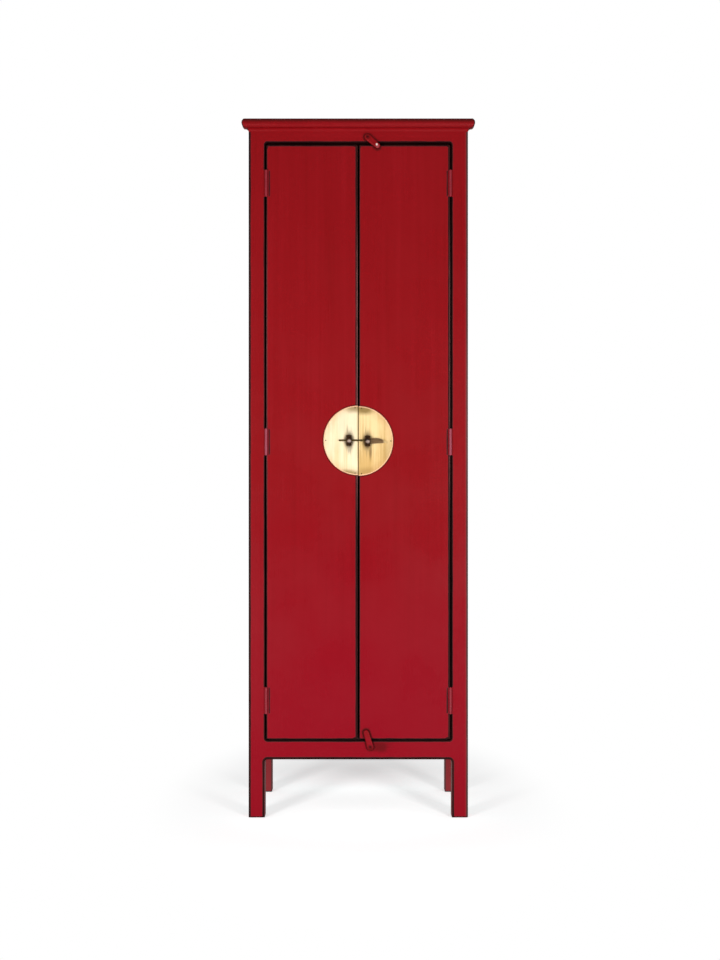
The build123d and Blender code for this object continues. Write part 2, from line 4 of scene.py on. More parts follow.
import bpy
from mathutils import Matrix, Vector


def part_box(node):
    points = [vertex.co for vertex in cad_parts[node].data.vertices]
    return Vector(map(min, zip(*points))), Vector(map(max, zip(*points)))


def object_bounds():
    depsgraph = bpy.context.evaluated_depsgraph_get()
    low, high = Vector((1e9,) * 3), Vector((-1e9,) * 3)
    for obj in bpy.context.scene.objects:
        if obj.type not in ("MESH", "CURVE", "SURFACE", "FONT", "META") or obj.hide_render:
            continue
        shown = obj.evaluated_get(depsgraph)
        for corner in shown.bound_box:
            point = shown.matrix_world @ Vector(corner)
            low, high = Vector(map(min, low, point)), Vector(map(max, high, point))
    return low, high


# Looks for the lacquered wedding cabinet. Metres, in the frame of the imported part: the origin on the
# floor under the middle of the cabinet, +Z up, the doors facing -Y. Every visible piece is a CAD node;
# this script gives each its finish, and adds the studio around it.

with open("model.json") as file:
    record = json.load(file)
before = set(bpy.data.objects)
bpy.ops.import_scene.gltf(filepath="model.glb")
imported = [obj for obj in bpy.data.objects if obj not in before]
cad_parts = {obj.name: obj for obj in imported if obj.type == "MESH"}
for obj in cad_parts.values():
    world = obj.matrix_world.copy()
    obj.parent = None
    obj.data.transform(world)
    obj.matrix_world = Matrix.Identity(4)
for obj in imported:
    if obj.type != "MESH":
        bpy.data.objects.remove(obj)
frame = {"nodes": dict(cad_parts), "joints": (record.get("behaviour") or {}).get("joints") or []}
cad_low, cad_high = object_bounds()

# ---------------------------------------------------------------------------- places, from the frame
leg_low, leg_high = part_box("front_left_leg")
back_leg_low, back_leg_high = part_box("back_left_leg")
back_bottom_low, back_bottom_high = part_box("back_bottom_rail")
back_middle_low, back_middle_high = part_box("back_middle_rail")
back_top_low, back_top_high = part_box("back_top_rail")
front_bottom_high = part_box("front_bottom_rail")[1]
side_panel_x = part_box("right_side_panel")[0].x   # inner faces of the panels
back_panel_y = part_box("back_lower_panel")[0].y

half_width = -leg_low.x
front_y = leg_low.y
back_y = back_leg_high.y
middle_y = (front_y + back_y) / 2
half_depth = (back_y - front_y) / 2
leg_size = leg_high.x - leg_low.x
opening_x = half_width - leg_size
opening_y = half_depth - leg_size
opening_low = back_bottom_high.z
opening_high = back_top_low.z
body_top = back_top_high.z
# a bottom rail's box takes in its rounded corners, above its top and below its underside
corner_round = front_bottom_high.z - opening_low
foot_height = back_bottom_low.z + corner_round
cap_x = cad_high.x
cap_front = cad_low.y
cap_top = cad_high.z
slack = 0.0001                   # so that a vertex at exactly that size still counts
bead_undercut = 0.006            # the bead's lower edge lies this far behind its nose
proud_of_body = 0.001            # what sticks out further than this is moulding
bead_low = min(
    vertex.co.z for vertex in frame["nodes"]["cap_front"].data.vertices
    if vertex.co.y < cap_front + bead_undercut + slack
)
# the moulding's returns end here along Y
cap_return = max(
    vertex.co.y for vertex in frame["nodes"]["cap_left"].data.vertices
    if vertex.co.x < -half_width - proud_of_body
)
sides = {"left": -1, "right": 1}
hinge_heights = ("lower", "middle", "upper")
turn_buttons = ("top_turn_button", "bottom_turn_button")
button_tip = 0.007               # radius of a turn button's tip
far_below = -1.0                 # an opening that runs down past the floor ends here

# ---------------------------------------------------------------------------- the photograph's camera
image_height_px = 960
image_centre_px = (360, 480)
body_centre_px = 358.3           # middle of the body
floor_line_px = 817.6            # front feet
metres_per_px = 0.0025783        # on the plane of the front
focal_length_px = 1524           # an estimate, which sets how far off the camera stands
sensor_size = 36.0               # millimetres, along the image's long side


def srgb(red, green, blue):
    """A colour given as 0 to 255 on screen, as the linear values that shaders take."""
    def linear(level):
        level /= 255
        return level / 12.92 if level <= 0.04045 else ((level + 0.055) / 1.055) ** 2.4
    return (linear(red), linear(green), linear(blue), 1.0)


# ---------------------------------------------------------------------------- shader arithmetic
class Field:
    """A number that varies over a surface. Arithmetic on fields adds math nodes to a material."""

    def __init__(self, graph, socket):
        self.graph = graph
        self.socket = socket

    def __add__(self, other):
        return self.graph.math("ADD", self, other)

    def __sub__(self, other):
        return self.graph.math("SUBTRACT", self, other)

    def __rsub__(self, other):
        return self.graph.math("SUBTRACT", other, self)

    def __mul__(self, other):
        return self.graph.math("MULTIPLY", self, other)

    def __neg__(self):
        return self.graph.math("MULTIPLY", self, -1.0)

    def __abs__(self):
        return self.graph.math("ABSOLUTE", self)


class Graph:
    """One material: a Principled shader, and the fields that feed it, in the piece's own coordinates."""

    def __init__(self, name):
        self.material = bpy.data.materials.new(name)
        self.material.use_nodes = True
        self.nodes = self.material.node_tree.nodes
        self.links = self.material.node_tree.links
        self.nodes.clear()
        self.shader = self.nodes.new("ShaderNodeBsdfPrincipled")
        self.output = self.nodes.new("ShaderNodeOutputMaterial")
        self.links.new(self.shader.outputs["BSDF"], self.output.inputs["Surface"])
        self.place = self.nodes.new("ShaderNodeTexCoord").outputs["Object"]
        split = self.nodes.new("ShaderNodeSeparateXYZ")
        self.links.new(self.place, split.inputs["Vector"])
        self.x, self.y, self.z = (Field(self, split.outputs[axis]) for axis in "XYZ")

    def feed(self, socket, value):
        """Link a field to a socket, or set the socket to a plain number or colour."""
        if isinstance(value, Field):
            self.links.new(value.socket, socket)
        elif isinstance(value, bpy.types.NodeSocket):
            self.links.new(value, socket)
        else:
            socket.default_value = value

    def math(self, operation, *values):
        node = self.nodes.new("ShaderNodeMath")
        node.operation = operation
        for socket, value in zip(node.inputs, values):
            self.feed(socket, value)
        return Field(self, node.outputs["Value"])

    def least(self, first, *others):
        for other in others:
            first = self.math("MINIMUM", first, other)
        return first

    def most(self, first, *others):
        for other in others:
            first = self.math("MAXIMUM", first, other)
        return first

    def above(self, value, level):
        """1 where the value is over the level, else 0."""
        return self.math("GREATER_THAN", value, level)

    def ramp(self, value, start, end, low=0.0, high=1.0):
        """Low up to start, high from end on, and smooth between them; start may be over end."""
        node = self.nodes.new("ShaderNodeMapRange")
        node.interpolation_type = "SMOOTHSTEP"
        for name, number in (("Value", value), ("From Min", start), ("From Max", end),
                             ("To Min", low), ("To Max", high)):
            self.feed(node.inputs[name], number)
        return Field(self, node.outputs["Result"])

    def noise(self, scale, detail=2.0, roughness=0.5, shift=0.0):
        """Noise from 0 to 1 about 0.5; scale is waves per metre along X, Y and Z."""
        stretch = self.nodes.new("ShaderNodeMapping")
        self.links.new(self.place, stretch.inputs["Vector"])
        stretch.inputs["Scale"].default_value = scale
        stretch.inputs["Location"].default_value = (shift, shift, shift)
        node = self.nodes.new("ShaderNodeTexNoise")
        self.links.new(stretch.outputs["Vector"], node.inputs["Vector"])
        node.inputs["Scale"].default_value = 1.0
        node.inputs["Detail"].default_value = detail
        node.inputs["Roughness"].default_value = roughness
        return Field(self, node.outputs["Fac"])

    def mix(self, share, first, second):
        """A colour from first, at share 0, to second, at share 1."""
        node = self.nodes.new("ShaderNodeMix")
        node.data_type = "RGBA"
        colours = [socket for socket in node.inputs if socket.type == "RGBA"]
        self.feed(node.inputs["Factor"], share)
        self.feed(colours[0], first)
        self.feed(colours[1], second)
        return next(socket for socket in node.outputs if socket.type == "RGBA")

    def bump(self, height, distance):
        """Relief: height is a field from 0 to 1, and distance what 1 stands for, in metres."""
        node = self.nodes.new("ShaderNodeBump")
        node.inputs["Strength"].default_value = 1.0
        node.inputs["Distance"].default_value = distance
        self.feed(node.inputs["Height"], height)
        self.links.new(node.outputs["Normal"], self.shader.inputs["Normal"])

    def finish(self, **values):
        """Feed the shader's sockets, named in lower case with underscores."""
        for name, value in values.items():
            self.feed(self.shader.inputs[name.replace("_", " ").title().replace("Ior", "IOR")], value)
        return self.material


def rounded_box(graph, across, up, half, low, high, radius):
    """Distance to a rectangle with rounded corners, negative inside it. Across is 0 in its middle."""
    over_x = across - (half - radius)
    over_z = abs(up - (low + high) / 2) - ((high - low) / 2 - radius)
    out_x = graph.most(over_x, 0.0)
    out_z = graph.most(over_z, 0.0)
    outside = graph.math("SQRT", out_x * out_x + out_z * out_z)
    inside = graph.least(graph.most(over_x, over_z), 0.0)
    return outside + inside - radius


def capsule(graph, start, end, radius):
    """Distance on the front to a bar with round ends, whose end centres are given as (x, z)."""
    along = (end[0] - start[0], end[1] - start[1])
    from_x = graph.x - start[0]
    from_z = graph.z - start[1]
    share = (from_x * along[0] + from_z * along[1]) * (1 / (along[0] ** 2 + along[1] ** 2))
    share = graph.least(graph.most(share, 0.0), 1.0)
    off_x = from_x - share * along[0]
    off_z = from_z - share * along[1]
    return graph.math("SQRT", off_x * off_x + off_z * off_z) - radius


def spot(graph, x, z, half_x, half_z, wobble):
    """1 in the middle of an upright oval patch on the front, fading to 0 at its uneven edge."""
    from_x = (graph.x - x) * (1 / half_x)
    from_z = (graph.z - z) * (1 / half_z)
    out = graph.math("SQRT", from_x * from_x + from_z * from_z)
    return graph.ramp(out + wobble, 0.25, 1.0, 1.0, 0.0)


def button_ends(label):
    """A turn button at rest: its pivot and the middle of its tip, as (x, z)."""
    low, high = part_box(label)
    pivot = next(joint["pos_m"] for joint in frame["joints"] if joint["child"] == label)
    tip = [
        far - button_tip if far - middle > middle - near else near + button_tip
        for near, far, middle in ((low.x, high.x, pivot[0]), (low.z, high.z, pivot[2]))
    ]
    return (pivot[0], pivot[2]), tip


# ---------------------------------------------------------------------------- lacquer
lacquer_red = srgb(150, 13, 21)
lacquer_deep = srgb(143, 11, 17)
lacquer_bright = srgb(157, 17, 26)
lacquer_low = srgb(156, 8, 31)      # more crimson and a little brighter towards the floor
edge_sheen = srgb(140, 44, 54)    # dull fringe beside the places that are rubbed through
# a painted sheen: paler red beside the black lines, where light catches the rounded arrises
undercoat = srgb(30, 3, 5)
undercoat_thin = srgb(56, 18, 14)   # the undercoat where the wood shows through it
pale_sheen_and_wear = srgb(158, 100, 98)          # pale pink: a painted sheen, and dust, and red rubbed down to the wood
# dark brown: soiling, and painted shade
grime_and_shade = srgb(72, 16, 12)
grain_scale = (1.6, 95.0)        # waves per metre, along the grain and across it
pore_scale = (9.0, 900.0)
square_corner = 0.0005           # stands in for no radius, where an opening's corners are square
door_pale_line_height = 1.15            # the doors' pale line, part painted highlight and part rubbed wood, is strongest about here, and the partly painted sheen beside the body's right-hand arris about here
right_sheen_height = 1.05            # and grip the body's right-hand arris about here
worn_blur = 0.0032               # from the black line to sound lacquer
arris_width = 0.0012             # black along an arris, without that blur
door_arris_width = 0.0008
outer_left_width = 0.0040        # black along the body's outer arrises
outer_right_width = 0.0030
under_rail_width = 0.0032        # more black round the openings under the rails
unworn = 0.01                    # a distance from an arris at which no black shows
lining = 0.0005                  # the inside's black goes this far past its side, back and floor,
front_lining = 0.0014            # starts this far behind the front,
cap_lining = 0.002               # and in the cap starts this far under its top
barrel_shade_inset = 0.0076             # a painted shade line beside the hinge barrels lies this far in from a door's hinged edge
pale_line_inset = 0.0010              # a pale line, part painted highlight on the arris and part bare wood, runs this far in from a door's upright arrises
door_corner = 0.004              # radius at which a door's black line goes round its corners


def streak_scales(axis, scale):
    """Noise scales along X, Y and Z for streaks along one axis, from those along and across it."""
    along, across = scale
    return tuple(along if name == axis else across for name in "xyz")


def worn_line(graph, distance, width):
    """Black where an arris is rubbed through, to that width from it, with an uneven soft edge."""
    rubbing = (graph.noise((30, 30, 22), detail=3.0, roughness=0.5) - 0.5) * 0.0022
    return graph.ramp(distance + rubbing, width, width + worn_blur, 1.0, 0.0)


def button_shadows(graph):
    """Painted shadow on the front: round the turn buttons, and cast beside the lower one."""
    cloud = graph.noise((45, 45, 45), detail=3.0, shift=8.0) - 0.5
    shares = []
    # painted shadow round each button's outline
    for label in turn_buttons:
        pivot, tip = button_ends(label)
        outline = capsule(graph, pivot, tip, button_tip) + cloud * 0.004
        shares.append(graph.ramp(outline, 0.001, 0.0075, 0.8, 0.0))
    # a painted shadow cast beside the lower button
    lower_x, lower_z = button_ends("bottom_turn_button")[0]
    shares.append(spot(graph, lower_x + 0.024, lower_z, 0.040, 0.021, cloud * 0.8) * 0.55)
    in_front = 1.0 - graph.above(graph.y, front_y + 0.004)
    return graph.most(*shares) * in_front


def beside_hinges(graph):
    """1 at the heights that the hinges take up, 0 between them."""
    boxes = [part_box(f"left_{height}_hinge_door_leaf") for height in hinge_heights]
    past_ends = graph.least(*(
        abs(graph.z - (low.z + high.z) / 2) - (high.z - low.z) / 2 for low, high in boxes
    ))
    return graph.ramp(past_ends, -0.002, 0.002, 1.0, 0.0)


def carcass_wear(graph):
    """Black along the frame's arrises and inside it; dusty and painted with a sheen on the legs' inner
    faces and the back legs' fronts under the rails, and painted paler beside the right-hand arris; no
    soiling or painted shade.
    """
    ax = abs(graph.x)
    ay = abs(graph.y - middle_y)
    front = 1.0 - graph.above(graph.y, middle_y)
    doors = rounded_box(graph, ax, graph.z, opening_x, opening_low, opening_high, corner_round)
    lower = rounded_box(graph, ax, graph.z, opening_x, opening_low, back_middle_low.z, square_corner)
    upper = rounded_box(graph, ax, graph.z, opening_x, back_middle_high.z, opening_high, square_corner)
    back = graph.least(abs(lower), abs(upper))
    under_x = rounded_box(graph, ax, graph.z, opening_x, far_below, foot_height, corner_round)
    under_y = rounded_box(graph, ay, graph.z, opening_y, far_below, foot_height, corner_round)
    side = rounded_box(graph, ay, graph.z, opening_y, opening_low, opening_high, square_corner)
    by_hinge = front * beside_hinges(graph) * graph.ramp(ax, opening_x - 0.012, opening_x - 0.006)
    face = front * abs(doors) + (1.0 - front) * back + by_hinge * unworn
    face = graph.least(face, abs(under_x) - under_rail_width)
    opened = graph.least(
        graph.most(face, half_depth - ay),
        graph.most(graph.least(abs(side), abs(under_y)), half_width - ax),
    )
    outer = graph.most(half_width - ax, half_depth - ay)
    outer_width = graph.ramp(graph.x, -0.1, 0.1, outer_left_width, outer_right_width)
    # the inner arrises of the back legs, under the rails
    inner_arris = graph.most(
        abs(ax - opening_x), abs(ay - opening_y), graph.z - foot_height, middle_y - graph.y
    )
    worn = graph.most(
        worn_line(graph, opened, arris_width),
        worn_line(graph, outer - outer_width, 0.0),
        worn_line(graph, inner_arris, arris_width),
    )
    scuffed = graph.noise((16, 16, 9), detail=2.0, shift=3.0)
    worn = worn * graph.ramp(scuffed, 0.28, 0.40, 0.8, 1.0)
    feet = worn_line(graph, graph.z, arris_width)
    inside = graph.most(
        ax - side_panel_x - lining,
        graph.y - back_panel_y - lining,
        front_y + front_lining - graph.y,
        opening_low - lining - graph.z,
        graph.z - body_top,
    )
    hidden = 1.0 - graph.above(inside, 0.0)
    # paler under the rails, dust and a painted sheen: on the legs' inner faces and the back legs' fronts
    between_legs = graph.ramp(abs(ax - opening_x), 0.0002, 0.0008, 0.8, 0.0)
    front_of_back_leg = graph.ramp(abs(graph.y - back_leg_low.y), 0.0002, 0.0008, 0.26, 0.0)
    under_rails = 1.0 - graph.above(graph.z, foot_height - corner_round)
    dust_and_sheen = graph.most(between_legs, front_of_back_leg) * under_rails
    # beside the right-hand arris the red is rubbed and painted paler as a sheen, most of all where it is
    # gripped
    right_arris_sheen = graph.ramp(outer, 0.0, 0.010, 0.3, 0.0) * graph.above(graph.x, 0.0)
    right_arris_sheen = right_arris_sheen * graph.ramp(abs(graph.z - right_sheen_height), 0.05, 0.25, 1.7, 1.0)
    return graph.most(worn, feet, hidden), graph.most(dust_and_sheen, right_arris_sheen), 0.0


def rail_wear(graph):
    """As on the rest of the frame, with painted shadow round the turn buttons in front."""
    black, sheen_and_wear = carcass_wear(graph)[:2]
    return black, sheen_and_wear, button_shadows(graph)


def cap_wear(graph):
    """Black round the cap's top edge and along its two front mitres, darker towards the top edge, and
    painted shade in the crease under its bead.
    """
    ax = abs(graph.x)
    body = graph.least(half_width - ax, back_y - graph.y, graph.y - cap_front)
    moulding = graph.least(cap_x - ax, cap_return - graph.y, graph.y - cap_front)
    inset = graph.most(body, moulding)
    drop = cap_top - graph.z
    rubbing = (graph.noise((18, 18, 18), detail=3.0, roughness=0.5) - 0.5) * 0.004
    ahead = graph.ramp(graph.y, cap_return, cap_return + 0.02, 1.0, 0.35)
    band = graph.most(inset - ahead * 0.003, drop) + rubbing * ahead
    rim = graph.ramp(band, -0.001, 0.0030, 0.55, 0.0)
    darker_to_top_edge = graph.ramp(band, -0.001, ahead * 0.0160, 1.0, 0.0)
    # painted shade in the crease under the bead
    quirk_shade = graph.ramp(abs(graph.z - bead_low) + rubbing * 0.2, 0.0004, 0.0030, 0.22, 0.0)
    on_nose = graph.ramp(inset, 0.008, 0.010, 1.0, 0.0)
    out_x = ax - half_width
    out_y = front_y - graph.y
    mitre = graph.ramp(abs(out_x - out_y) + rubbing * 0.3, 0.0008, 0.0034, 0.85, 0.0)
    proud = graph.ramp(graph.least(out_x, out_y), 0.0, 0.002)
    under = graph.most(
        ax - side_panel_x, abs(graph.y - middle_y) - opening_y, graph.z - cap_top + cap_lining
    )
    hidden = 1.0 - graph.above(under, 0.0)
    return graph.most(rim, mitre * proud, hidden), 0.0, graph.most(darker_to_top_edge, quirk_shade * on_nose)


def door_wear(side):
    """How a door is worn: black round its front, on its edges and back; a line of painted shade beside
    each hinge's barrel, and painted shade round its plate.
    """
    low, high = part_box(f"{side}_door_panel")
    middle_x = (low.x + high.x) / 2
    half_door = (high.x - low.x) / 2
    plate_low, plate_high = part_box(f"{side}_plate")
    plate_radius = (plate_high.z - plate_low.z) / 2
    plate_z = (plate_low.z + plate_high.z) / 2

    def wear(graph):
        across = abs(graph.x - middle_x)
        outline = rounded_box(graph, across, graph.z, half_door, low.z, high.z, door_corner)
        depth = graph.y - low.y
        on_face = graph.ramp(depth, 0.0012, 0.0019, 1.0, 0.0)
        near_right = graph.ramp(graph.x, high.x - 0.014, high.x - 0.007)
        near_top = graph.ramp(graph.z, high.z - 0.012, high.z - 0.006)
        width = graph.most(near_right * 0.0028, near_top * 0.0018)
        from_hinges = (graph.x - low.x) if side == "left" else (high.x - graph.x)
        by_hinge = beside_hinges(graph)
        kept = by_hinge * graph.ramp(from_hinges, 0.009, 0.012, 1.0, 0.0)
        worn = worn_line(graph, graph.most(-outline, depth) - width, door_arris_width) * (1.0 - kept)
        # painted shade: a dark line a little way in from the barrel of each hinge
        patchiness = graph.noise((30, 30, 30), detail=3.0, shift=4.0) - 0.5
        from_barrel_shade = abs(from_hinges - barrel_shade_inset) + patchiness * 0.002
        barrel_shade = graph.ramp(from_barrel_shade, 0.0004, 0.0030, 0.75, 0.0) * by_hinge
        behind = 1.0 - on_face
        # a pale line where hands push the doors, along both upright arrises of the left one,
        # and the hinged one of the right: part rubbed down to the wood, part a painted highlight on the
        # arris
        if side == "left":
            arris = half_door - across
            share = graph.ramp(graph.x, middle_x, middle_x + 0.01, 0.40, 1.0)
        else:
            arris = from_hinges
            share = 0.5
        rubbed = graph.ramp(abs(arris - pale_line_inset) + patchiness * 0.0016, 0.0004, 0.0014, 1.0, 0.0)
        sheen_by_height = graph.ramp(abs(graph.z - door_pale_line_height), 0.20, 0.45, 1.0, 0.12)
        sheen_and_wear = rubbed * sheen_by_height * share * (1.0 - kept) * on_face
        up = graph.z - plate_z
        from_plate = graph.math("SQRT", graph.x * graph.x + up * up) - plate_radius
        # painted shade round the plate's edge
        plate_shade_ring = graph.ramp(from_plate + patchiness * 0.002, 0.0, 0.0045, 0.85, 0.0)
        return graph.most(worn, behind, barrel_shade), sheen_and_wear, graph.most(button_shadows(graph), plate_shade_ring)

    return wear


def lacquer(name, grain, wear):
    """Red lacquer over black on wood whose grain runs along one axis."""
    graph = Graph(name)
    bands = graph.noise(streak_scales(grain, grain_scale), detail=3.0, roughness=0.55)
    cloud = graph.noise((2.6, 2.6, 1.7), detail=2.0, shift=7.0)
    pores = graph.noise(streak_scales(grain, pore_scale), detail=2.0, roughness=0.6)
    tone = bands * 0.5 + cloud * 0.35 + pores * 0.15
    red = graph.mix(graph.ramp(tone, 0.34, 0.5), lacquer_deep, lacquer_red)
    red = graph.mix(graph.ramp(tone, 0.5, 0.68, 0.0, 0.8), red, lacquer_bright)
    red = graph.mix(graph.ramp(graph.z + (cloud - 0.5) * 0.4, 1.0, 0.1, 0.0, 0.85), red, lacquer_low)
    black, sheen_and_wear, grimy_and_shaded = wear(graph)
    # darker where shade is painted, and where it is soiled
    red = graph.mix(grimy_and_shaded, red, grime_and_shade)
    # a painted sheen beside the black lines
    red = graph.mix(graph.ramp(black, 0.0, 0.22, 0.0, 0.6), red, edge_sheen)
    dark = graph.mix(graph.ramp(tone + (pores - 0.5) * 0.5, 0.42, 0.66), undercoat, undercoat_thin)
    colour = graph.mix(graph.ramp(black, 0.10, 0.80), red, dark)
    # paler with the painted sheen, and where it is dusty or rubbed to the wood
    colour = graph.mix(sheen_and_wear, colour, pale_sheen_and_wear)
    smears = graph.noise((7, 7, 7), detail=3.0, shift=11.0)
    roughness = graph.ramp(smears + pores * 0.2, 0.35, 0.8, 0.22, 0.34) + black * 0.45
    graph.bump(pores * 0.35 + bands * 0.65 - black * 0.1, 0.00014)
    return graph.finish(base_color=colour, roughness=roughness, specular_ior_level=0.12)


# ---------------------------------------------------------------------------- what is inside
def inner_wood(name, grain):
    """Dark stained wood, thinly lacquered, that shows its grain."""
    graph = Graph(name)
    bands = graph.noise(streak_scales(grain, grain_scale), detail=4.0, roughness=0.6, shift=5.0)
    pores = graph.noise(streak_scales(grain, pore_scale), detail=2.0, roughness=0.7)
    stain = graph.mix(graph.ramp(bands, 0.32, 0.68), srgb(26, 10, 8), srgb(62, 27, 17))
    colour = graph.mix(graph.ramp(pores, 0.30, 0.46, 0.75, 0.0), stain, srgb(14, 6, 5))
    roughness = graph.ramp(bands + pores * 0.3, 0.4, 0.9, 0.42, 0.62)
    graph.bump(bands * 0.4 + pores * 0.6, 0.0004)
    return graph.finish(base_color=colour, roughness=roughness, specular_ior_level=0.35)


# ---------------------------------------------------------------------------- metal
plate_looks = {
    "left": {"pale": srgb(250, 232, 195), "golden": srgb(236, 206, 150),
             "duller_below": 0.06, "bronze_rim": 0.30},
    "right": {"pale": srgb(246, 217, 161), "golden": srgb(214, 174, 108),
              "duller_below": 0.17, "bronze_rim": 0.45},
}
# where cleaning cloths miss the plate: x, height over its middle, half width, half height, share
missed_spots = {
    "left": ((-0.012, 0.086, 0.036, 0.021, 0.7), (-0.024, -0.086, 0.044, 0.018, 0.75)),
    "right": ((0.016, 0.084, 0.036, 0.024, 0.85), (0.078, -0.030, 0.022, 0.060, 0.25),
              (0.022, -0.080, 0.040, 0.020, 0.3)),
}
plate_olive = srgb(136, 108, 52)
plate_bronze = srgb(196, 146, 90)
# painted shade and soot round the eyelet
plate_soot_and_shade = srgb(66, 42, 18)
# a painted reflection on the plate's bevelled rim
plate_rim_reflection = srgb(252, 200, 160)
plate_seam = srgb(108, 80, 40)


def face_plate(side):
    """Brushed brass, tarnished at its edges, dark round the eyelet with tarnish and painted shade, with a
    painted reflection on its rim; the left half is the paler one.
    """
    graph = Graph(f"face_plate_{side}")
    low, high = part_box(f"{side}_plate")
    eyelet_low, eyelet_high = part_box(f"{side}_eyelet")
    look = plate_looks[side]
    radius = (high.z - low.z) / 2
    middle_z = (low.z + high.z) / 2
    eyelet_x = (eyelet_low.x + eyelet_high.x) / 2
    up = graph.z - middle_z
    out = graph.math("SQRT", graph.x * graph.x + up * up)
    brushed = graph.noise((420, 60, 7), detail=4.0, roughness=0.65)
    bands = graph.noise((75, 20, 5), detail=3.0, shift=2.0)
    cloud = graph.noise((22, 22, 16), detail=3.0, roughness=0.6, shift=9.0)
    wobble = (cloud - 0.5) * 0.9
    sheen = bands * 0.6 + brushed * 0.4 - graph.ramp(up, 0.05, -0.08, 0.0, look["duller_below"])
    colour = graph.mix(graph.ramp(sheen, 0.26, 0.56), look["golden"], look["pale"])
    # tarnish: a warm shade towards the rim, and olive spots
    edge = graph.ramp(out + (cloud - 0.5) * 0.04, radius * 0.76, radius * 1.02, 0.0, look["bronze_rim"])
    colour = graph.mix(edge, colour, plate_bronze)
    misses = graph.most(*(
        spot(graph, x, middle_z + rise, half_x, half_z, wobble) * share
        for x, rise, half_x, half_z, share in missed_spots[side]
    ))
    colour = graph.mix(misses, colour, plate_olive)
    # soot from handling and painted shade, round the eyelet and streaked up and down from it
    streaks = (graph.noise((330, 60, 24), detail=2.0, shift=13.0) - 0.5) * 1.1
    soot_and_shade = graph.most(
        spot(graph, eyelet_x, middle_z, 0.0170, 0.033, wobble * 0.4),
        spot(graph, eyelet_x, middle_z, 0.0125, 0.044, streaks) * 0.6,
    )
    if side == "right":
        drip = spot(graph, eyelet_x + 0.0075, middle_z - 0.022, 0.0055, 0.040, wobble * 0.3) * 0.6
        soot_and_shade = graph.most(soot_and_shade, drip)
    colour = graph.mix(soot_and_shade, colour, plate_soot_and_shade)
    # a painted reflection of the lamps and the red door on the bevelled rim
    rim = graph.ramp(out, radius - 0.0036, radius - 0.0022, 0.0, 0.85)
    colour = graph.mix(rim, colour, plate_rim_reflection)
    seam = graph.ramp(graph.x * sides[side], 0.0007, 0.0026, 0.75, 0.0)
    colour = graph.mix(seam, colour, plate_seam)
    roughness = graph.ramp(brushed + cloud * 0.5, 0.45, 1.0, 0.36, 0.52)
    graph.bump(brushed, 0.00006)
    return graph.finish(base_color=colour, metallic=0.8, roughness=roughness)


def patina(graph, dark, light):
    """Old brass in two tones, cloudy, with a rough skin."""
    cloud = graph.noise((160, 160, 160), detail=4.0, roughness=0.6)
    graph.bump(cloud, 0.0002)
    roughness = graph.ramp(cloud, 0.3, 0.7, 0.34, 0.55)
    return graph.mix(graph.ramp(cloud, 0.35, 0.65), dark, light), roughness


def eyelet_brass(side):
    """Nearly black with handling, with a pale grey spot at the front of its loop, part painted highlight
    and part worn brass.
    """
    graph = Graph(f"{side}_eyelet_brass")
    low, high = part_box(f"{side}_plate")
    eyelet_low, eyelet_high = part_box(f"{side}_eyelet")
    colour, roughness = patina(graph, srgb(44, 28, 16), srgb(86, 58, 32))
    crown_x = (eyelet_low.x + eyelet_high.x) / 2 + 0.0008
    crown_z = (low.z + high.z) / 2 - 0.0020
    wobble = (graph.noise((240, 240, 240), shift=6.0) - 0.5) * 0.5
    # a pale spot at the front of the loop: painted highlight and worn brass
    crown_highlight_and_wear = spot(graph, crown_x, crown_z, 0.0072, 0.0062, wobble)
    in_front = graph.ramp(graph.y, eyelet_low.y + 0.004, eyelet_low.y + 0.006, 1.0, 0.0)
    colour = graph.mix(crown_highlight_and_wear * in_front * 0.8, colour, srgb(190, 166, 152))
    return graph.finish(base_color=colour, metallic=0.75, roughness=roughness)


def lock_pin_brass():
    """An olive brown rod that ends in a rusty brown leaf, streaked along its length."""
    graph = Graph("lock_pin_brass")
    eyelet_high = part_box("right_eyelet")[1]
    leaf_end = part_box("lock_pin")[1].x
    streaks = graph.noise((30, 300, 420), detail=3.0, shift=5.0)
    rod, roughness = patina(graph, srgb(66, 50, 22), srgb(104, 84, 42))
    leaf = graph.mix(graph.ramp(streaks, 0.36, 0.62), srgb(84, 60, 36), srgb(126, 98, 66))
    paler = graph.ramp(graph.x, leaf_end - 0.013, leaf_end - 0.005, 0.0, 0.85)
    leaf = graph.mix(paler, leaf, srgb(230, 198, 138))
    colour = graph.mix(graph.above(graph.x, eyelet_high.x), rod, leaf)
    return graph.finish(base_color=colour, metallic=0.7, roughness=roughness)


def nail_brass():
    graph = Graph("nail_brass")
    colour, roughness = patina(graph, srgb(52, 40, 20), srgb(104, 86, 50))
    return graph.finish(base_color=colour, metallic=0.75, roughness=roughness)


def hinge_iron():
    """Hinges under the same red lacquer, with a pale pink painted highlight on the barrels, strongest on
    the middle ones.
    """
    graph = Graph("hinge_iron")
    cloud = graph.noise((90, 90, 40), detail=4.0, roughness=0.65)
    # painted highlight on the barrels, strongest at mid height
    sheen_by_height = graph.ramp(abs(graph.z - (opening_low + opening_high) / 2), 0.1, 0.4, 0.65, 0.22)
    barrel = graph.ramp(graph.y + (cloud - 0.5) * 0.004, front_y - 0.006, front_y - 0.002, 1.0, 0.0)
    paint = graph.mix(graph.ramp(cloud, 0.3, 0.7), lacquer_deep, lacquer_red)
    colour = graph.mix(barrel * sheen_by_height, paint, srgb(176, 88, 108))
    deep = graph.ramp(graph.y, front_y + 0.002, front_y + 0.005)
    colour = graph.mix(deep, colour, undercoat)
    roughness = graph.ramp(cloud, 0.3, 0.7, 0.30, 0.45)
    graph.bump(cloud, 0.0003)
    return graph.finish(base_color=colour, roughness=roughness, specular_ior_level=0.2)


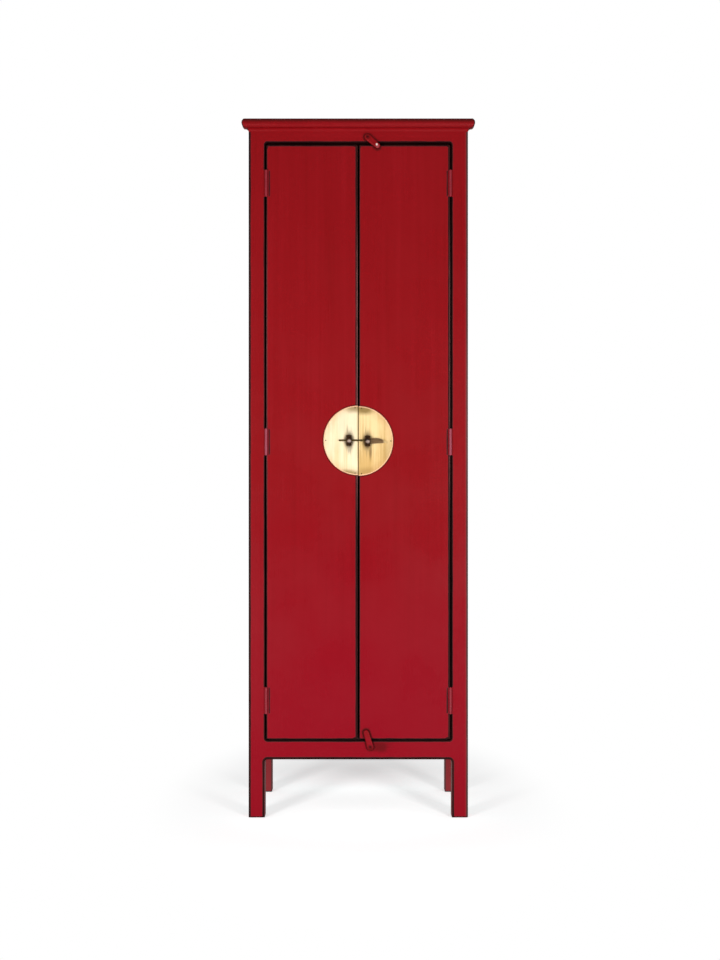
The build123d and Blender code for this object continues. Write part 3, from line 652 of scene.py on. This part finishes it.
def turn_button(label):
    """Red lacquer on a turn button, black behind and next to the door; the upper one's tip carries a
    painted highlight.
    """
    low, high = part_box(label)
    pivot, tip = button_ends(label)
    graph = Graph(label)
    cloud = graph.noise((60, 60, 60), detail=4.0, roughness=0.6)
    behind = graph.ramp(graph.y + (cloud - 0.5) * 0.002, low.y + 0.0012, low.y + 0.0042, 0.0, 0.8)
    high_up = label == "top_turn_button"
    light = lacquer_red if high_up else lacquer_low
    colour = graph.mix(graph.ramp(cloud, 0.35, 0.65), lacquer_deep, light)
    from_x = graph.x - pivot[0]
    from_z = graph.z - pivot[1]
    from_pivot = graph.math("SQRT", from_x * from_x + from_z * from_z)
    soiled = graph.ramp(from_pivot + (cloud - 0.5) * 0.008, 0.002, 0.010, 0.7, 0.0)
    colour = graph.mix(soiled, colour, grime_and_shade)
    if high_up:
        wobble = (cloud - 0.5) * 0.6
        # a painted highlight on the tip, with a pink edge
        tip_highlight_fringe = spot(graph, tip[0] + 0.0004, tip[1] - 0.0012, 0.0060, 0.0074, wobble) * 0.5
        colour = graph.mix(tip_highlight_fringe, colour, srgb(196, 104, 110))
        tip_highlight = spot(graph, tip[0] - 0.0018, tip[1] + 0.0026, 0.0036, 0.0044, wobble)
        colour = graph.mix(tip_highlight, colour, srgb(255, 236, 226))
    colour = graph.mix(behind, colour, undercoat)
    roughness = graph.ramp(behind, 0.0, 0.6, 0.38, 0.7)
    graph.bump(cloud, 0.0003)
    return graph.finish(base_color=colour, roughness=roughness, specular_ior_level=0.12)


def pivot_paint():
    """The turn buttons' pivots, under old dark paint."""
    graph = Graph("pivot_paint")
    cloud = graph.noise((300, 300, 300), detail=3.0)
    colour = graph.mix(graph.ramp(cloud, 0.35, 0.65), srgb(70, 3, 8), srgb(104, 8, 16))
    roughness = graph.ramp(cloud, 0.3, 0.7, 0.55, 0.75)
    graph.bump(cloud, 0.0002)
    return graph.finish(base_color=colour, roughness=roughness, specular_ior_level=0.06)


# ---------------------------------------------------------------------------- which node has which
lacquers = {axis: lacquer(f"carcass_lacquer_{axis}", axis, carcass_wear) for axis in "yz"}
lacquers["x"] = lacquer("carcass_lacquer_x", "x", rail_wear)
cap_lacquers = {axis: lacquer(f"cap_lacquer_{axis}", axis, cap_wear) for axis in "xy"}
inner = {axis: inner_wood(f"inner_wood_{axis}", axis) for axis in "xy"}
iron = hinge_iron()
nails = nail_brass()

finishes = {"cap_front": cap_lacquers["x"], "cap_back": cap_lacquers["x"], "cap_panel": cap_lacquers["x"],
            "cap_left": cap_lacquers["y"], "cap_right": cap_lacquers["y"],
            "cap_battens": inner["y"], "bottom_board": inner["x"],
            "lock_pin": lock_pin_brass(), "frame_hinge_screws": iron, "button_nails": pivot_paint()}
for name in ("shelf_lower", "shelf_middle", "shelf_upper"):
    finishes[name] = inner["x"]
for name in ("back_upper_panel", "back_lower_panel"):
    finishes[name] = lacquers["z"]
for label in turn_buttons:
    finishes[label] = turn_button(label)
for name in ("front_top", "front_bottom", "back_top", "back_middle", "back_bottom"):
    finishes[f"{name}_rail"] = lacquers["x"]
for side in sides:
    for end in ("front", "back"):
        finishes[f"{end}_{side}_leg"] = lacquers["z"]
    finishes[f"{side}_top_rail"] = lacquers["y"]
    finishes[f"{side}_bottom_rail"] = lacquers["y"]
    finishes[f"{side}_side_panel"] = lacquers["z"]
    finishes[f"{side}_shelf_cleats"] = inner["y"]
    finishes[f"{side}_door_panel"] = lacquer(f"{side}_door_lacquer", "z", door_wear(side))
    finishes[f"{side}_door_battens"] = inner["x"]
    finishes[f"{side}_plate"] = face_plate(side)
    finishes[f"{side}_plate_nails"] = nails
    finishes[f"{side}_eyelet"] = eyelet_brass(side)
    finishes[f"{side}_hinge_pins"] = iron
    finishes[f"{side}_door_hinge_screws"] = iron
    for height in hinge_heights:
        for owner in ("frame", "door"):
            finishes[f"{side}_{height}_hinge_{owner}_leaf"] = iron
for name, node in frame["nodes"].items():
    node.data.materials.clear()
    node.data.materials.append(finishes[name])


# ---------------------------------------------------------------------------- studio
def mixed_shader(nodes, links, share, first, second):
    """A shader socket from first, where share is 0, to second, where it is 1."""
    node = nodes.new("ShaderNodeMixShader")
    links.new(share, node.inputs["Fac"])
    links.new(first, node.inputs[1])
    links.new(second, node.inputs[2])
    return node.outputs["Shader"]


def by_ray_kind(nodes, links, kinds, others, these):
    """A shader socket that gives rays of these kinds one shader, and all others the other."""
    path = nodes.new("ShaderNodeLightPath")
    share = path.outputs[kinds[0]]
    for kind in kinds[1:]:
        either = nodes.new("ShaderNodeMath")
        either.operation = "MAXIMUM"
        links.new(share, either.inputs[0])
        links.new(path.outputs[kind], either.inputs[1])
        share = either.outputs["Value"]
    return mixed_shader(nodes, links, share, others, these)


seen_kinds = ("Is Camera Ray", "Is Transmission Ray")
ambient = 0.22                   # what the room gives to the object
mirrored = 0.45                  # what its gloss shows of the room
backdrop = 1.0                   # what the camera sees of the room


def build_room():
    """A white room, of one strength for the light it gives, one in gloss and one as it is seen."""
    world = bpy.data.worlds.new("studio")
    bpy.context.scene.world = world
    world.use_nodes = True
    nodes = world.node_tree.nodes
    links = world.node_tree.links
    nodes.clear()

    def white(strength):
        background = nodes.new("ShaderNodeBackground")
        background.inputs["Color"].default_value = (1, 1, 1, 1)
        background.inputs["Strength"].default_value = strength
        return background.outputs["Background"]

    lighting = by_ray_kind(nodes, links, ("Is Glossy Ray",), white(ambient), white(mirrored))
    room = by_ray_kind(nodes, links, seen_kinds, lighting, white(backdrop))
    output = nodes.new("ShaderNodeOutputWorld")
    links.new(room, output.inputs["Surface"])


floor_size = 40.0                # metres, well past the edge of the picture
floor_white = 2.05               # the paper's answer to the light on it, as the camera sees it
floor_grey = 0.8                 # and what it gives back to the cabinet
floor_glow = 0.21                # its own light, so that shadows stay faint
under_glow = 0.34                # more of it under the cabinet, which keeps the room's light off
under_reach = (0.10, 0.55)       # from all of that to none, out from the middle
glow_colour = (0.955, 1, 1, 1)   # makes up for the red that the cabinet throws on the paper,
outer_glow = (0.80, 1, 1, 1)     # which tells more where the glow is weak
blank_reach = (0.30, 1.25)       # from here out the paper goes over to plain white,
blank_narrowing = 2.1            # that much sooner to the sides,
blank_middle_y = 0.06            # and sooner in front than behind


def floor_paper():
    """Paper that fades out to white, keeps a faint shadow and shows the cabinet a plain grey."""
    paper = Graph("floor_paper")
    nodes = paper.nodes
    links = paper.links
    nodes.remove(paper.shader)

    def diffuse(level):
        node = nodes.new("ShaderNodeBsdfDiffuse")
        node.inputs["Color"].default_value = (level, level, level, 1)
        return node.outputs["BSDF"]

    out = paper.math("SQRT", paper.x * paper.x + paper.y * paper.y)
    glow = nodes.new("ShaderNodeEmission")
    paper.feed(glow.inputs["Color"], paper.mix(paper.ramp(out, *under_reach), glow_colour, outer_glow))
    paper.feed(glow.inputs["Strength"], paper.ramp(out, *under_reach, under_glow, 0.0) + floor_glow)
    lit = nodes.new("ShaderNodeAddShader")
    links.new(diffuse(floor_white), lit.inputs[0])
    links.new(glow.outputs["Emission"], lit.inputs[1])
    blank = nodes.new("ShaderNodeEmission")
    aside = paper.x * blank_narrowing
    behind = paper.y - blank_middle_y
    blank_out = paper.math("SQRT", aside * aside + behind * behind)
    faded_out = paper.ramp(blank_out, *blank_reach)
    shown = mixed_shader(nodes, links, faded_out.socket, lit.outputs["Shader"], blank.outputs["Emission"])
    surface = by_ray_kind(nodes, links, seen_kinds, diffuse(floor_grey), shown)
    links.new(surface, paper.output.inputs["Surface"])
    return paper.material


build_room()
half_floor = floor_size / 2
floor_mesh = bpy.data.meshes.new("floor")
floor_mesh.from_pydata(
    [(x * half_floor, y * half_floor, 0.0) for x, y in ((-1, -1), (1, -1), (1, 1), (-1, 1))],
    [], [(0, 1, 2, 3)],
)
floor_mesh.materials.append(floor_paper())
floor = bpy.data.objects.new("floor", floor_mesh)
bpy.context.scene.collection.objects.link(floor)


def soft_box(name, azimuth, distance, height, width, tall, power, fills=None):
    """A lamp at that angle from straight ahead, positive to the right, aimed level at the middle.

    A lamp that fills lights only what that collection lets it, and gloss doesn't show it.
    """
    lamp = bpy.data.lights.new(name, "AREA")
    lamp.shape = "RECTANGLE"
    lamp.size = width
    lamp.size_y = tall
    lamp.energy = power
    stand = bpy.data.objects.new(name, lamp)
    angle = math.radians(azimuth)
    stand.location = (distance * math.sin(angle), -distance * math.cos(angle), height)
    aim = Vector((0, 0, height)) - stand.location
    stand.rotation_euler = aim.to_track_quat("-Z", "Y").to_euler()
    stand.visible_camera = False
    if fills:
        stand.light_linking.receiver_collection = fills
        stand.visible_glossy = False
    bpy.context.scene.collection.objects.link(stand)


lamp_distance = 3.1
lamp_tall = 1.1
for name, azimuth, power in (("lamp_left", -27, 38), ("lamp_right", 25, 35)):
    soft_box(name, azimuth, lamp_distance, height=0.6, width=0.5, tall=lamp_tall, power=power)

# The sides and back get weaker lamps of their own, which leave the floor and its shadow alone.
all_but_floor = bpy.data.collections.new("all_but_floor")
all_but_floor.objects.link(floor)
all_but_floor.collection_objects[0].light_linking.link_state = "EXCLUDE"
for name, azimuth in (("lamp_back_left", -138), ("lamp_back_right", 138)):
    soft_box(name, azimuth, lamp_distance, height=2.0, width=0.6, tall=lamp_tall, power=26,
             fills=all_but_floor)

# ---------------------------------------------------------------------------- camera
camera_data = bpy.data.cameras.new("camera")
camera_data.sensor_width = sensor_size
camera_data.lens = sensor_size * focal_length_px / image_height_px
camera = bpy.data.objects.new("camera", camera_data)
bpy.context.scene.collection.objects.link(camera)
camera.location = (
    (image_centre_px[0] - body_centre_px) * metres_per_px,
    front_y - focal_length_px * metres_per_px,
    (floor_line_px - image_centre_px[1]) * metres_per_px,
)
camera.rotation_euler = (math.radians(90), 0, 0)
bpy.context.scene.camera = camera
bpy.context.scene.view_settings.view_transform = "Standard"
